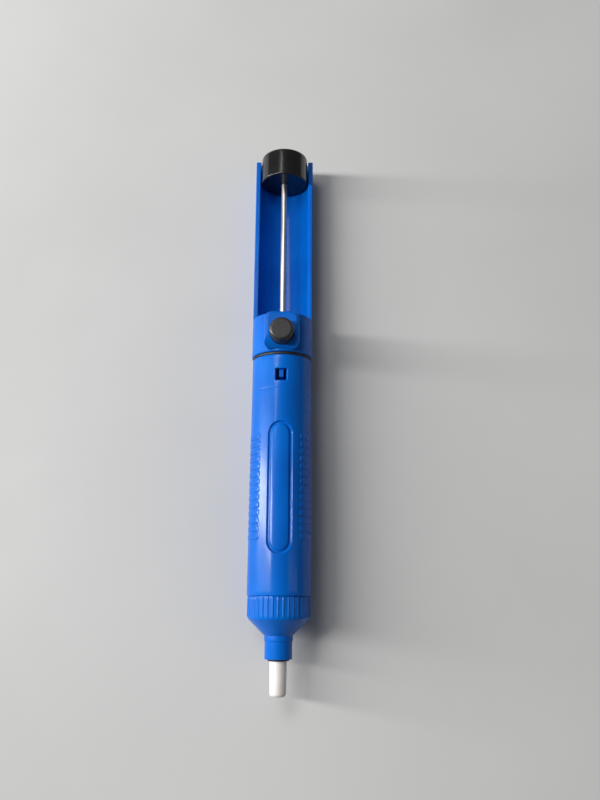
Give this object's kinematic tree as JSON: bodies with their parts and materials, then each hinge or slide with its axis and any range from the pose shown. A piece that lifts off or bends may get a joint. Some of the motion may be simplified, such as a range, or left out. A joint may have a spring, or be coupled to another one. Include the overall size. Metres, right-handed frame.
{
  "type": "desoldering pump",
  "caption": "Hand-held spring-driven suction pump for removing solder: barrel, screw-off nose cap with nozzle, sliding plunger with knob in an open guard, and release button.",
  "frame": {"origin": "centre of the nozzle's open end face, on the tool's axis", "axes": "+Y along the tool's axis from the nozzle to the plunger knob; +Z out of the face of the release button; the tool lies flat on its back"},
  "size_m": [0.0224, 0.193, 0.0286],
  "materials": {
    "blue_plastic": "glossy moulded blue",
    "black_plastic": "satin moulded black",
    "grey_plastic": "fine-grained dark grey",
    "white_plastic": "waxy white",
    "black_rubber": "smooth seal rubber",
    "steel": "bright drawn wire",
    "spring_steel": "drawn spring wire",
    "brass": "turned"
  },
  "bodies": {
    "barrel": {"barrel": "blue_plastic", "upper_housing": "blue_plastic", "barrel_o_ring": "black_rubber", "rod_guide_bush": "brass", "rod_bumper": "black_rubber", "main_spring": "spring_steel", "button_spring": "spring_steel"},
    "cap_gasket": {"nose_cap_gasket": "black_rubber"},
    "nose_cap": {"nose_cap": "blue_plastic", "nozzle_tip": "white_plastic", "nozzle_o_ring": "black_rubber", "spring_seat": "steel"},
    "plunger": {"plunger_rod": "steel", "plunger_knob": "black_plastic", "piston": "white_plastic", "piston_o_ring": "black_rubber", "piston_washer": "steel", "piston_clip": "spring_steel", "cleaning_pin": "steel"},
    "button": {"release_button": "grey_plastic", "latch_plate": "steel", "latch_pin": "steel"}
  },
  "joints": [
    {"name": "plunger_slide", "type": "slide", "parent": "barrel", "child": "plunger", "axis": [0, -1, 0], "range_m": [0, 0.048], "stiffness_N_per_m": 250, "springref_m": -0.02, "deforming": ["main_spring"]},
    {"name": "release_button_press", "type": "slide", "parent": "barrel", "child": "button", "axis": [0, 0, -1], "range_m": [0, 0.0022], "stiffness_N_per_m": 600, "springref_m": -0.001, "deforming": ["button_spring"]},
    {"name": "nose_cap_travel", "type": "slide", "parent": "barrel", "child": "cap_gasket", "axis": [0, -1, 0], "range_m": [0, 0.005]},
    {"name": "nose_cap_turn", "type": "hinge", "parent": "cap_gasket", "child": "nose_cap", "pos_m": [0, 0.032, 0], "axis": [0, -1, 0], "range_deg": [0, 900]}
  ],
  "couplings": [
    {"joint": "nose_cap_turn", "follows": "nose_cap_travel", "rad_per_m": 3141.6}
  ]
}
